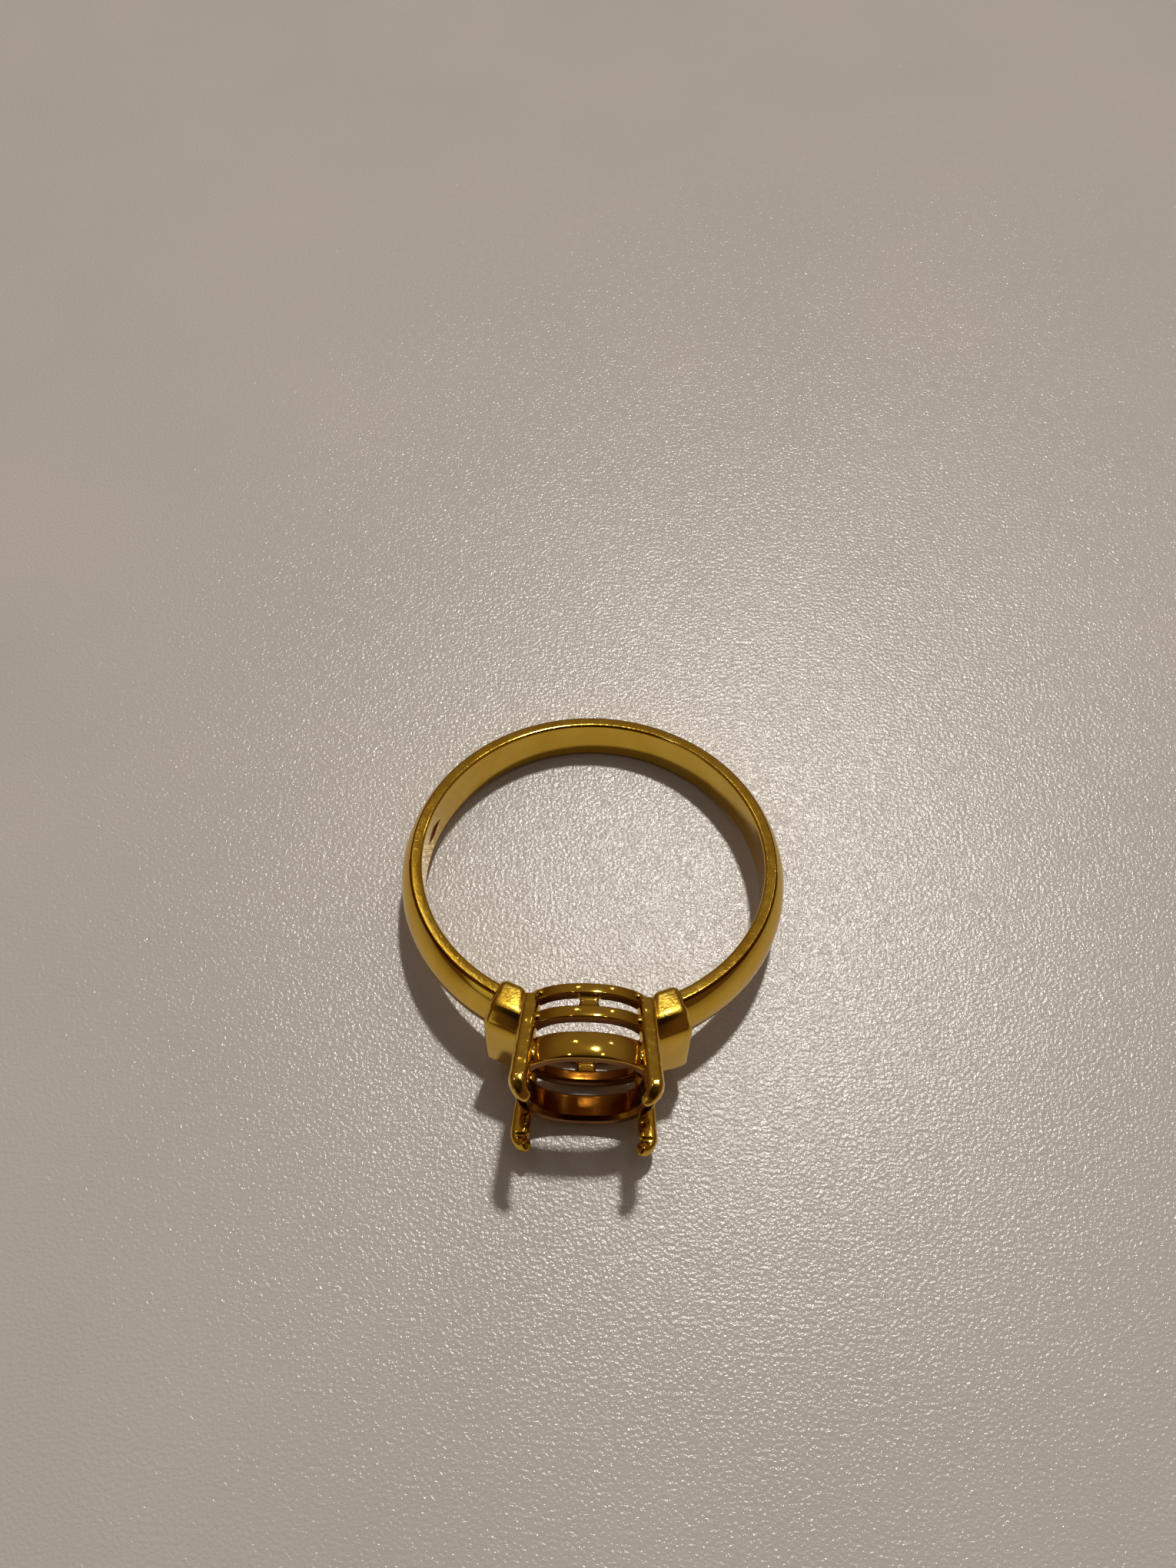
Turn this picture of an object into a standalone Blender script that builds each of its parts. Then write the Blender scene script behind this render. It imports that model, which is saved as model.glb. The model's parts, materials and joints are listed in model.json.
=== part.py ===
"""Engagement ring without its stone, lying on its side.

The ring is modelled around its finger axis (local +Z), with the head towards local -Y and the
centre of the finger hole at the local origin. An empty then tips it into its resting pose, where the
head and the back of the shank touch the surface, with +Z up and the origin in the middle under the
ring. Every piece is soldered to its neighbours, so nothing moves.
"""

import math

import bmesh
import bpy
from mathutils import Matrix, Vector

MM = 0.001

# Driving dimensions of the shank.
FINGER_RADIUS = 8.5 * MM
EDGE_THICKNESS = 0.47 * MM        # flat side face, from the finger hole to the foot of the dome
INNER_EDGE_ROUND = 0.18 * MM
BACK_HALF_WIDTH = 1.2 * MM        # half the shank's width opposite the head
HEAD_HALF_WIDTH = 1.65 * MM       # what the taper would reach under the head
BACK_DOME = 0.45 * MM             # height of the domed outside over the side faces
SHOULDER_DOME = 0.8 * MM

# Driving dimensions of the two shoulders, blocks that stand between the shank and the head.
SHOULDER_ANGLE = math.radians(22.4)   # from the head's direction to the middle of a shoulder
SHOULDER_HALF_LENGTH = 0.86 * MM      # along the ring
SHOULDER_HALF_WIDTH = 2.5 * MM        # along the finger axis
SHOULDER_THICKNESS = 2.25 * MM        # away from the finger hole
SHOULDER_CHAMFER = 0.78 * MM
SHOULDER_INNER_CHAMFER = 0.4 * MM

# Driving dimensions of the head's three gallery rails, soft cushion outlines.
HEAD_HALF_LENGTH = 3.4 * MM       # along X, outside
HEAD_HALF_WIDTH_Z = 3.58 * MM     # along the finger axis, outside
OUTLINE_POWER = 2.4               # 2 is an ellipse, larger is squarer
RAIL_WALL = 0.65 * MM
RAIL_EDGE_ROUND = 0.14 * MM
HEAD_SINK = 0.17 * MM             # how far the base rail reaches into the finger hole's circle
BASE_RAIL_HEIGHT = 0.53 * MM
LOWER_WINDOW = 0.6 * MM           # between base rail and middle rail
MIDDLE_RAIL_HEIGHT = 0.6 * MM
UPPER_WINDOW = 0.66 * MM          # between middle rail and crown rail
CROWN_RAIL_HEIGHT = 1.32 * MM
STRUT_WIDTH = 1.05 * MM
STRUT_INSET = 0.05 * MM           # how far a strut stays inside the rails' faces

# Driving dimensions of the claws.
CLAW_WIDTH = 1.0 * MM
CLAW_DEPTH = 0.85 * MM
CLAW_EDGE_ROUND = 0.25 * MM
CLAW_OUT_X = 3.12 * MM            # outer face at the base, from the head's middle
CLAW_OUT_Z = 2.8 * MM
CLAW_SETBACK = 0.15 * MM          # from the back of the base rail to the foot of a claw
CLAW_FLARE_X = 0.085              # outward lean along X, a slope
CLAW_FLARE_Z = 0.125              # outward lean along the finger axis, a slope
CLAW_RISE = 1.0 * MM              # from the crown rail's face to where the hook starts
CLAW_HOOK_RADIUS = 0.5 * MM
CLAW_HOOK_ANGLE = math.radians(82.0)
CLAW_TIP_SCALE = 0.6              # size of the tip against the wire

# Small marks and clearances.
STAMP_ANGLE = math.radians(75.5)  # from the back of the shank, on the -X side
STAMP_HALF_LENGTH = 0.75 * MM
STAMP_HALF_HEIGHT = 0.32 * MM
STAMP_DEPTH = 0.07 * MM
SOLDER_GAP = 0.03 * MM            # film of solder between two pieces

# Facets.
SHANK_STEPS = 84
DOME_STEPS = 10
ROUND_STEPS = 3
RAIL_STEPS = 64
HOOK_STEPS = 8

GOLD = (0.83, 0.60, 0.22)

HEAD_START = FINGER_RADIUS - HEAD_SINK
BASE_RAIL_BACK = HEAD_START
MIDDLE_RAIL_BACK = BASE_RAIL_BACK + BASE_RAIL_HEIGHT + LOWER_WINDOW
CROWN_RAIL_BACK = MIDDLE_RAIL_BACK + MIDDLE_RAIL_HEIGHT + UPPER_WINDOW
CROWN_FACE = CROWN_RAIL_BACK + CROWN_RAIL_HEIGHT
RAILS = {
    "base_rail": (BASE_RAIL_BACK, BASE_RAIL_HEIGHT),
    "middle_rail": (MIDDLE_RAIL_BACK, MIDDLE_RAIL_HEIGHT),
    "crown_rail": (CROWN_RAIL_BACK, CROWN_RAIL_HEIGHT),
}
SIDES = {"left": -1, "right": 1}
LEVELS = {"upper": 1, "lower": -1}


def clear_scene():
    for item in list(bpy.data.objects):
        bpy.data.objects.remove(item, do_unlink=True)


def new_collection(name):
    collection = bpy.data.collections.new(name)
    bpy.context.scene.collection.children.link(collection)
    return collection


def gold_material(name, roughness):
    material = bpy.data.materials.new(name)
    material.use_nodes = True
    shader = material.node_tree.nodes["Principled BSDF"]
    shader.inputs["Base Color"].default_value = (*GOLD, 1.0)
    shader.inputs["Metallic"].default_value = 1.0
    shader.inputs["Roughness"].default_value = roughness
    return material


def add_object(name, data, collection, material=None):
    item = bpy.data.objects.new(name, data)
    collection.objects.link(item)
    if material:
        item.data.materials.append(material)
    return item


def add_guide(name, data, collection):
    """A cutter or a profile, which is not a piece of the ring."""
    item = add_object(name, data, collection)
    item.hide_render = True
    item.display_type = "WIRE"
    return item


def rounded_rectangle(width, height, radius):
    """Points of a rectangle around the origin with rounded corners, anticlockwise."""
    points = []
    for index, (side_x, side_y) in enumerate(((1, 1), (-1, 1), (-1, -1), (1, -1))):
        for step in range(ROUND_STEPS):
            angle = math.pi / 2 * (index + step / (ROUND_STEPS - 1))
            x = side_x * (width / 2 - radius) + radius * math.cos(angle)
            y = side_y * (height / 2 - radius) + radius * math.sin(angle)
            points.append((x, y))
    return points


def cushion_outline(half_x, half_y, count):
    """Points of a superellipse around the origin."""
    points = []
    for step in range(count):
        angle = 2 * math.pi * step / count
        cos, sin = math.cos(angle), math.sin(angle)
        reach = (abs(cos / half_x) ** OUTLINE_POWER + abs(sin / half_y) ** OUTLINE_POWER)
        radius = reach ** (-1 / OUTLINE_POWER)
        points.append((radius * cos, radius * sin))
    return points


def poly_curve(name, points, cyclic, dimensions="3D", radii=None):
    curve = bpy.data.curves.new(name, "CURVE")
    curve.dimensions = dimensions
    spline = curve.splines.new("POLY")
    spline.points.add(len(points) - 1)
    for index, point in enumerate(points):
        x, y, z = (*point, 0.0)[:3]
        spline.points[index].co = (x, y, z, 1.0)
        spline.points[index].radius = radii[index] if radii else 1.0
    spline.use_cyclic_u = cyclic
    return curve


def mesh_from_curve(curve_object, name):
    """The curve's surface as a mesh, with its end caps welded on."""
    bpy.context.view_layer.update()
    evaluated = curve_object.evaluated_get(bpy.context.evaluated_depsgraph_get())
    mesh = bpy.data.meshes.new_from_object(evaluated)
    mesh.name = name
    mesh.transform(curve_object.matrix_world)
    shape = bmesh.new()
    shape.from_mesh(mesh)
    bmesh.ops.remove_doubles(shape, verts=shape.verts, dist=0.0001 * MM)
    bmesh.ops.recalc_face_normals(shape, faces=shape.faces)
    shape.to_mesh(mesh)
    shape.free()
    bpy.data.objects.remove(curve_object)
    return mesh


def swept_mesh(name, path, section, cyclic, guides, radii=None, dimensions="3D"):
    """A closed section swept along a path of straight runs."""
    profile = add_guide(name + "_profile", poly_curve(name + "_profile", section, True, "2D"), guides)
    curve = poly_curve(name, path, cyclic, dimensions, radii)
    curve.bevel_mode = "OBJECT"
    curve.bevel_object = profile
    curve.twist_mode = "Z_UP"
    curve.use_fill_caps = not cyclic
    mesh = mesh_from_curve(add_guide(name + "_path", curve, guides), name)
    bpy.data.objects.remove(profile)
    return mesh


def cut(item, cutters):
    for cutter in cutters:
        modifier = item.modifiers.new("cut_by_" + cutter.name, "BOOLEAN")
        modifier.operation = "DIFFERENCE"
        modifier.solver = "EXACT"
        modifier.object = cutter


def finish_edges(item, sharp_degrees=35.0):
    item.data.shade_smooth()
    item.data.set_sharp_from_angle(angle=math.radians(sharp_degrees))


def head_direction(angle):
    """Unit vector in the plane of the ring, at an angle from the head towards +X."""
    return Vector((math.sin(angle), -math.cos(angle), 0.0))


def half_width_at(y):
    """Half the shank's width, which tapers evenly from the head to the back."""
    share = (FINGER_RADIUS - y) / (2 * FINGER_RADIUS)
    return BACK_HALF_WIDTH + (HEAD_HALF_WIDTH - BACK_HALF_WIDTH) * share


def shank_section(angle):
    """One cross-section of the shank: flat inside, flat side faces, domed outside."""
    outward = head_direction(angle)
    share = (1 + math.cos(angle)) / 2
    dome = BACK_DOME + (SHOULDER_DOME - BACK_DOME) * share

    def at(radius, side):
        y = outward.y * radius
        return outward * radius + Vector((0, 0, side * half_width_at(y)))

    foot = FINGER_RADIUS + EDGE_THICKNESS
    section = []
    for step in range(DOME_STEPS + 1):
        turn = 2 * step / DOME_STEPS - 1
        half_width = half_width_at(outward.y * foot)
        arc_radius = (half_width ** 2 + dome ** 2) / (2 * dome)
        reach = math.asin(half_width / arc_radius)
        height = arc_radius * math.cos(turn * reach) - (arc_radius - dome)
        point = outward * (foot + height)
        section.append(point + Vector((0, 0, arc_radius * math.sin(turn * reach))))
    for side in (1, -1):
        rounded = []
        for step in range(ROUND_STEPS):
            turn = math.pi / 2 * step / (ROUND_STEPS - 1)
            radius = FINGER_RADIUS + INNER_EDGE_ROUND * (1 - math.sin(turn))
            inset = INNER_EDGE_ROUND * (1 - math.cos(turn))
            rounded.append(at(radius, side) - Vector((0, 0, side * inset)))
        section.extend(rounded if side > 0 else reversed(rounded))
    return section


def loft(name, sections):
    """A closed body through equal sections, with flat ends."""
    shape = bmesh.new()
    rings = [[shape.verts.new(point) for point in section] for section in sections]
    count = len(rings[0])
    for ring, following in zip(rings, rings[1:]):
        for index in range(count):
            after = (index + 1) % count
            shape.faces.new((ring[index], ring[after], following[after], following[index]))
    shape.faces.new(rings[0])
    shape.faces.new(rings[-1])
    bmesh.ops.recalc_face_normals(shape, faces=shape.faces)
    mesh = bpy.data.meshes.new(name)
    shape.to_mesh(mesh)
    shape.free()
    return mesh


def block(name, size, collection):
    """A box of the given size around the origin, as a guide."""
    shape = bmesh.new()
    bmesh.ops.create_cube(shape, size=1.0)
    bmesh.ops.scale(shape, vec=size, verts=shape.verts)
    mesh = bpy.data.meshes.new(name)
    shape.to_mesh(mesh)
    shape.free()
    return add_guide(name, mesh, collection)


def shoulder_frame(side):
    """The shoulder's own axes: X along the ring away from the head, Y outward, Z up."""
    outward = head_direction(side * SHOULDER_ANGLE)
    along = Vector((0, 0, 1)).cross(outward) * side
    frame = Matrix.Identity(4)
    frame.col[0].xyz = along
    frame.col[1].xyz = outward
    frame.col[2].xyz = Vector((0, 0, 1))
    return frame


def make_shank(pieces, cutters, material):
    start = SHOULDER_ANGLE
    angles = [start + (2 * math.pi - 2 * start) * step / SHANK_STEPS for step in range(SHANK_STEPS + 1)]
    shank = add_object("shank", loft("shank", [shank_section(angle) for angle in angles]), pieces, material)
    ends = []
    length = 2 * SHOULDER_HALF_LENGTH
    for name, side in SIDES.items():
        end = block(name + "_shank_end", (length, 2 * SHOULDER_THICKNESS, 4 * SHOULDER_HALF_WIDTH), cutters)
        middle = Vector((SOLDER_GAP, FINGER_RADIUS + SHOULDER_THICKNESS / 2, 0))
        end.matrix_world = shoulder_frame(side) @ Matrix.Translation(middle)
        ends.append(end)
    cut(shank, ends + [make_stamp(cutters)])
    finish_edges(shank)
    return shank


def make_stamp(cutters):
    """A blank lozenge pressed into the inside of the shank."""
    lozenge = block("stamp", (1, 1, 1), cutters)
    points = [(STAMP_HALF_LENGTH, 0), (0, STAMP_HALF_HEIGHT), (-STAMP_HALF_LENGTH, 0), (0, -STAMP_HALF_HEIGHT)]
    shape = bmesh.new()
    floor = [shape.verts.new((x, STAMP_DEPTH, z)) for x, z in points]
    shape.faces.new(floor)
    raised = bmesh.ops.extrude_face_region(shape, geom=shape.faces[:])
    top = [item for item in raised["geom"] if isinstance(item, bmesh.types.BMVert)]
    bmesh.ops.translate(shape, vec=(0, -6 * STAMP_DEPTH, 0), verts=top)
    bmesh.ops.recalc_face_normals(shape, faces=shape.faces)
    shape.to_mesh(lozenge.data)
    shape.free()
    turn = math.pi + STAMP_ANGLE
    lozenge.matrix_world = Matrix.Rotation(turn, 4, "Z") @ Matrix.Translation((0, -FINGER_RADIUS, 0))
    return lozenge


def make_shoulder(name, side, pieces, cutters, material):
    """A block with chamfered outer edges, hollowed to seat against the head."""
    inner, outer = FINGER_RADIUS, FINGER_RADIUS + SHOULDER_THICKNESS
    half = SHOULDER_HALF_WIDTH
    corners = [
        (inner, half - SHOULDER_INNER_CHAMFER),
        (inner + SHOULDER_INNER_CHAMFER, half),
        (outer - SHOULDER_CHAMFER, half),
        (outer, half - SHOULDER_CHAMFER),
    ]
    outline = corners + [(radius, -z) for radius, z in reversed(corners)]
    frame = shoulder_frame(side)
    reach = 3 * SHOULDER_HALF_LENGTH
    sections = []
    for along in (SHOULDER_HALF_LENGTH, SHOULDER_HALF_LENGTH - reach):
        sections.append([frame @ Vector((along, radius, z)) for radius, z in outline])
    shoulder = add_object(name, loft(name, sections), pieces, material)
    cut(shoulder, cutters)
    finish_edges(shoulder)
    return shoulder


def rail_mesh(name, back, height, growth, guides):
    section = rounded_rectangle(RAIL_WALL + 2 * growth, height + 2 * growth, RAIL_EDGE_ROUND + growth)
    inset = RAIL_WALL / 2
    path = cushion_outline(HEAD_HALF_LENGTH - inset, HEAD_HALF_WIDTH_Z - inset, RAIL_STEPS)
    mesh = swept_mesh(name, path, section, True, guides, dimensions="2D")
    mesh.transform(Matrix.Translation((0, -(back + height / 2), 0)) @ Matrix.Rotation(math.pi / 2, 4, "X"))
    return mesh


def make_rail(name, pieces, guides, material):
    back, height = RAILS[name]
    rail = add_object(name, rail_mesh(name, back, height, 0.0, guides), pieces, material)
    finish_edges(rail)
    return rail


def make_rail_cutters(cutters):
    """Each rail grown by the solder gap, for the pieces that are notched to seat it."""
    grown = []
    for name, (back, height) in RAILS.items():
        mesh = rail_mesh(name + "_seat", back, height, SOLDER_GAP, cutters)
        grown.append(add_guide(name + "_seat", mesh, cutters))
    return grown


def make_strut(name, level, pieces, material):
    """A post between base rail and middle rail, in the middle of a long side."""
    bpy.ops.mesh.primitive_cube_add(size=1.0)
    strut = bpy.context.object
    strut.name = name
    strut.data.name = name
    height = LOWER_WINDOW - 2 * SOLDER_GAP
    depth = RAIL_WALL - 2 * STRUT_INSET
    strut.data.transform(Matrix.Diagonal((STRUT_WIDTH, height, depth, 1)))
    middle_z = level * (HEAD_HALF_WIDTH_Z - RAIL_WALL / 2)
    middle_y = -(BASE_RAIL_BACK + BASE_RAIL_HEIGHT + LOWER_WINDOW / 2)
    strut.data.transform(Matrix.Translation((0, middle_y, middle_z)))
    for collection in list(strut.users_collection):
        collection.objects.unlink(strut)
    pieces.objects.link(strut)
    strut.data.materials.append(material)
    bevel = strut.modifiers.new("edges", "BEVEL")
    bevel.width = RAIL_EDGE_ROUND
    bevel.segments = 2
    finish_edges(strut)
    return strut


def claw_path(side, level):
    """The claw's middle line from its base to its hooked tip, and its size along it."""
    lean = Vector((side * CLAW_FLARE_X, -1.0, level * CLAW_FLARE_Z)).normalized()
    inward = Vector((-side, 0.0, -level)).normalized()
    start = HEAD_START + CLAW_SETBACK
    base = Vector((
        side * (CLAW_OUT_X - CLAW_WIDTH / 2),
        -start,
        level * (CLAW_OUT_Z - CLAW_DEPTH / 2),
    ))
    straight = (CROWN_FACE + CLAW_RISE - start) / -lean.y
    bend_start = base + lean * straight
    points = [base, base + lean * straight / 2, bend_start]
    radii = [1.0, 1.0, 1.0]
    centre = bend_start + inward * CLAW_HOOK_RADIUS
    for step in range(1, HOOK_STEPS + 1):
        share = step / HOOK_STEPS
        angle = CLAW_HOOK_ANGLE * share
        offset = -inward * math.cos(angle) + lean * math.sin(angle)
        points.append(centre + offset * CLAW_HOOK_RADIUS)
        radii.append(1.0 + (CLAW_TIP_SCALE - 1.0) * share)
    return points, radii


def make_claw(name, side, level, pieces, cutters, seats, material):
    points, radii = claw_path(side, level)
    section = rounded_rectangle(CLAW_WIDTH, CLAW_DEPTH, CLAW_EDGE_ROUND)
    mesh = swept_mesh(name, points, section, False, cutters, radii)
    claw = add_object(name, mesh, pieces, material)
    cut(claw, seats)
    finish_edges(claw)
    return claw


def make_head_side_cutter(name, side, cutters):
    """Half-space inside the claws' outer faces, which trims a shoulder's inner end."""
    reach = 4 * HEAD_HALF_LENGTH
    trim = block(name, (reach, reach, reach), cutters)
    lean = Matrix.Rotation(side * math.atan(CLAW_FLARE_X), 4, "Z")
    face = Vector((side * (CLAW_OUT_X + SOLDER_GAP), -(HEAD_START + CLAW_SETBACK), 0))
    trim.matrix_world = Matrix.Translation(face) @ lean @ Matrix.Translation((-side * reach / 2, 0, 0))
    return trim


def world_points(item):
    graph = bpy.context.evaluated_depsgraph_get()
    evaluated = item.evaluated_get(graph)
    mesh = evaluated.to_mesh()
    points = [item.matrix_world @ vertex.co for vertex in mesh.vertices]
    evaluated.to_mesh_clear()
    return points


def resting_tilt(head_points, back_points):
    """Angle about X at which the head's lowest point is level with the back's."""
    low, high = 0.0, math.pi / 4
    for _ in range(40):
        tilt = (low + high) / 2
        turn = Matrix.Rotation(-tilt, 3, "X")
        head_low = min((turn @ point).z for point in head_points)
        back_low = min((turn @ point).z for point in back_points)
        if head_low < back_low:
            low = tilt
        else:
            high = tilt
    return (low + high) / 2


def rest_on_surface(items, collection):
    """An empty that tips the ring until its head and the back of its shank touch the surface."""
    bpy.context.view_layer.update()
    clouds = {item.name: world_points(item) for item in items}
    head = [point for cloud in clouds.values() for point in cloud if point.y < 0]
    back = [point for point in clouds["shank"] if point.y > 0]
    turn = Matrix.Rotation(-resting_tilt(head, back), 4, "X")
    placed = [turn @ point for cloud in clouds.values() for point in cloud]
    low = Vector([min(point[axis] for point in placed) for axis in range(3)])
    high = Vector([max(point[axis] for point in placed) for axis in range(3)])
    ring_axis = bpy.data.objects.new("ring_axis", None)
    collection.objects.link(ring_axis)
    ring_axis.matrix_world = Matrix.Translation((-(low.x + high.x) / 2, -(low.y + high.y) / 2, -low.z)) @ turn
    return ring_axis


def main():
    clear_scene()
    pieces = new_collection("engagement_ring")
    cutters = new_collection("cutters")
    polished = gold_material("polished_gold", 0.12)
    cast = gold_material("setting_gold", 0.18)

    made = [make_shank(pieces, cutters, polished)]
    seats = make_rail_cutters(cutters)
    for name, side in SIDES.items():
        trim = make_head_side_cutter(name + "_shoulder_trim", side, cutters)
        made.append(make_shoulder(name + "_shoulder", side, pieces, [trim] + seats, polished))
    for name in RAILS:
        made.append(make_rail(name, pieces, cutters, cast))
    for name, level in LEVELS.items():
        made.append(make_strut(name + "_strut", level, pieces, cast))
        for side_name, side in SIDES.items():
            claw_name = f"{name}_{side_name}_claw"
            made.append(make_claw(claw_name, side, level, pieces, cutters, seats, cast))

    ring_axis = rest_on_surface(made, pieces)
    for item in list(pieces.objects) + list(cutters.objects):
        if item is not ring_axis:
            item.parent = ring_axis


main()
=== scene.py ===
"""Looks of the engagement ring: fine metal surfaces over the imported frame, gold, table, light and camera.

Sizes are in millimetres in the ring's own frame (finger axis along Z, head towards -Y) until place()
turns a mesh to metres in the row frame.
"""

import json
import math

import bmesh
import bpy
from mathutils import Matrix, Vector, noise


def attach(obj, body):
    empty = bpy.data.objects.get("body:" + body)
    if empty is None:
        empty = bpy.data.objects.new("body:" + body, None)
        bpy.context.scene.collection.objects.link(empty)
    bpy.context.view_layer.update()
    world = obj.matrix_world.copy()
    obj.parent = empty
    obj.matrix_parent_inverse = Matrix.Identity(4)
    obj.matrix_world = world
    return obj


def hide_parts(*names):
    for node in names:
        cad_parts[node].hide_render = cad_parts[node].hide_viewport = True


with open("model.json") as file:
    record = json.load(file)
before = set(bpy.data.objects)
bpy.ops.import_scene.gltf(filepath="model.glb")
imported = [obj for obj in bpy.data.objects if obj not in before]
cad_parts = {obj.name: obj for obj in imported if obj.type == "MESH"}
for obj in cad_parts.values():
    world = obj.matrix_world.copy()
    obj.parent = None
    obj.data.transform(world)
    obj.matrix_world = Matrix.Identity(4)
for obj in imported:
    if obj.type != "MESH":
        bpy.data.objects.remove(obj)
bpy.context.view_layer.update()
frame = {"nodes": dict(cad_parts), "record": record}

MM = 0.001
SIDES = {"left": -1, "right": 1}
LEVELS = {"upper": 1, "lower": -1}
CORNER_ROOM = 0.49                # share of an outline's side that one rounded corner may take

# The shank's section, which the frame's boxes don't give.
FINGER_RADIUS = 8.5
EDGE_THICKNESS = 0.56             # flat side face, from the finger hole to the foot of the dome
INNER_EDGE_ROUND = 0.18
OUTER_EDGE_ROUND = 0.16           # eased edge between a side face and the dome
BACK_HALF_WIDTH = 1.2             # half the shank's width opposite the head
HEAD_HALF_WIDTH = 1.65            # what the taper would reach under the head
BACK_DOME = 0.37                  # height of the domed outside over the side faces
SHOULDER_DOME = 0.66
SHANK_STEPS = 420
DOME_STEPS = 24                   # across the domed outside
INNER_STEPS = 40                  # across the flat inside
SHANK_END = 0.6                   # where the shank ends in a shoulder, as a share of its half length

# The blank stamp inside the shank.
STAMP_ANGLE = math.radians(75.5)  # from the back of the shank, on the -X side
STAMP_HALF_LENGTH = 0.85
STAMP_HALF_HEIGHT = 0.38
STAMP_DEPTH = 0.07
STAMP_WALL = 0.3                  # share of the dent that its sloping walls take
STAMP_STEPS = 70
STAMP_MARGIN = 1.1                # stretch with fine steps, over the stamp's length

# The shoulders.
SHOULDER_ANGLE = math.radians(22.4)   # from the head's direction to the middle of a shoulder
SHOULDER_HALF_LENGTH = 0.86
SHOULDER_HALF_WIDTH = 2.5
SHOULDER_THICKNESS = 2.25
SHOULDER_CHAMFER = 0.78
SHOULDER_EDGE_ROUND = 0.36
SHOULDER_EDGE_STEPS = 8
SHOULDER_BLANK = 3.0              # reach under the head before the cut, over the half length
SHOULDER_INSET = 0.25             # from a claw's outer face to the end of the shoulder beside it

# The head.
OUTLINE_POWER = 2.4               # 2 is an ellipse, larger is squarer
RAIL_WALL = 0.65
RAIL_EDGE_ROUND = 0.14
RAIL_STEPS = 320
RAIL_GRID = 0.09                  # longest side of a rail's section
RAIL_LOOK_AHEAD = 0.001           # radians, to find which way a rail runs
RAIL_WAVE = 0.012                 # depth of the slow waves along a rail
RAIL_WAVE_RATE = 0.8              # waves to the millimetre
BARREL_RADIUS = 2.7               # roundness of a rail's outer face across its height
BARREL_STEPS = 12
BEARING_WIDTH = 0.16              # seat cut on the crown rail's inner front edge
BEARING_DEPTH = 1.3 * BEARING_WIDTH
BEARING_FRONT_ROUND = 0.03
BEARING_BACK_ROUND = 0.04
CROWN_FACE = 12.04                # from the finger axis to the front of the crown rail
SEAT_Z = 3.255                    # height of the stone seat mount over the finger hole's middle

# The struts, which spread where they are soldered to the rails.
STRUT_BURIED = 0.08               # how far an end reaches into its rail
STRUT_EDGE_ROUND = 0.2
STRUT_GRID = 0.1                  # longest side of a strut's section
STRUT_STEPS = 24
STRUT_WAIST_X = 0.1               # how much slimmer the middle is than the CAD's post, on each side
STRUT_WAIST_Z = 0.12
STRUT_SPREAD_X = 0.2              # how much the ends gain over the middle, on each side
STRUT_SPREAD_Z = 0.1
STRUT_SPREAD_POWER = 2.5

# The claws.
CLAW_WIDTH = 1.0
CLAW_DEPTH = 0.85
CLAW_EDGE_ROUND = 0.34
CLAW_BACK_SHARE = 0.74            # width of a claw's back, which faces out along Z, over its full width
CLAW_GRID = 0.08                  # longest side of a claw's section
CLAW_OUT_X = 3.12                 # outer face at the foot, from the head's middle
CLAW_OUT_Z = 2.8
CLAW_FOOT = 8.48                  # from the finger axis to the foot
CLAW_FLARE_X = 0.085              # outward lean, as slopes
CLAW_FLARE_Z = 0.125
CLAW_RISE = 0.88                  # from the crown rail's face to where the hook starts
CLAW_HOOK_RADIUS = 0.64
CLAW_HOOK_ANGLE = math.radians(82.0)
CLAW_FOOT_LENGTH = 0.15           # rounded end at the foot
CLAW_FOOT_SCALE = 0.3
CLAW_TIP_LENGTH = 0.16            # rounded end at the tip
CLAW_TIP_SCALE = 0.62
CLAW_TIP_FLAT = 0.03              # share of the tip's width that stays as a flat end
CLAW_FOOT_STEPS = 5
CLAW_STRAIGHT_STEPS = 60
CLAW_HOOK_STEPS = 24
CLAW_TIP_STEPS = 8
CLAW_DENTS = ((0.012, 1.9), (0.0048, 4.5))   # the file's flats along a claw: depth, and how many to the mm
CLAW_SEED = (7.3, 3.1)            # sets the four claws' dents apart

# A solder bead, in a corner between a rail and a claw.
SOLDER_HALF_WIDTH = 0.28
SOLDER_HALF_DEPTH = 0.22
SOLDER_HEIGHT_SHARE = 0.86        # over the rail's height
SOLDER_IN_CLAW = 0.3              # how deep its middle sits in the claw, over its half width
SOLDER_IN_RAIL = 0.55             # how deep its middle sits in the rail, over its half depth

# Which faces get another finish or painted shade: how far their normals turn to the finger axis or out of
# the head.
SIDE_FACE_TURN = 0.97
CREASE_TURN = 0.62
SHOULDER_TOP_TURN = 0.93
RAIL_OUTSIDE_TURN = 0.3
PRESSED_SHARES = (0.03, 1.1)      # depth of the stamp's faces, over the stamp's depth

DEEP_GOLD = (0.76, 0.465, 0.042)
PALE_GOLD = (0.86, 0.585, 0.090)
CLEAN_TINT = (1.0, 1.0, 1.0)
FILED_TINT = (0.94, 0.93, 0.88)
# Painted shade: a dark red-brown for the crease at the foot of the dome and for the rails' faces into the
# head.
PAINTED_SHADE_TINT = (0.32, 0.18, 0.14)
# Dirt and painted shade in the stamp's dent, as a dark red-brown.
STAMP_DIRT_AND_SHADE_TINT = (0.30, 0.11, 0.06)

TABLE_TONES = ((0.620, 0.597, 0.556), (0.660, 0.625, 0.588))
TABLE_SIZE = 3.0                  # metres

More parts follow.
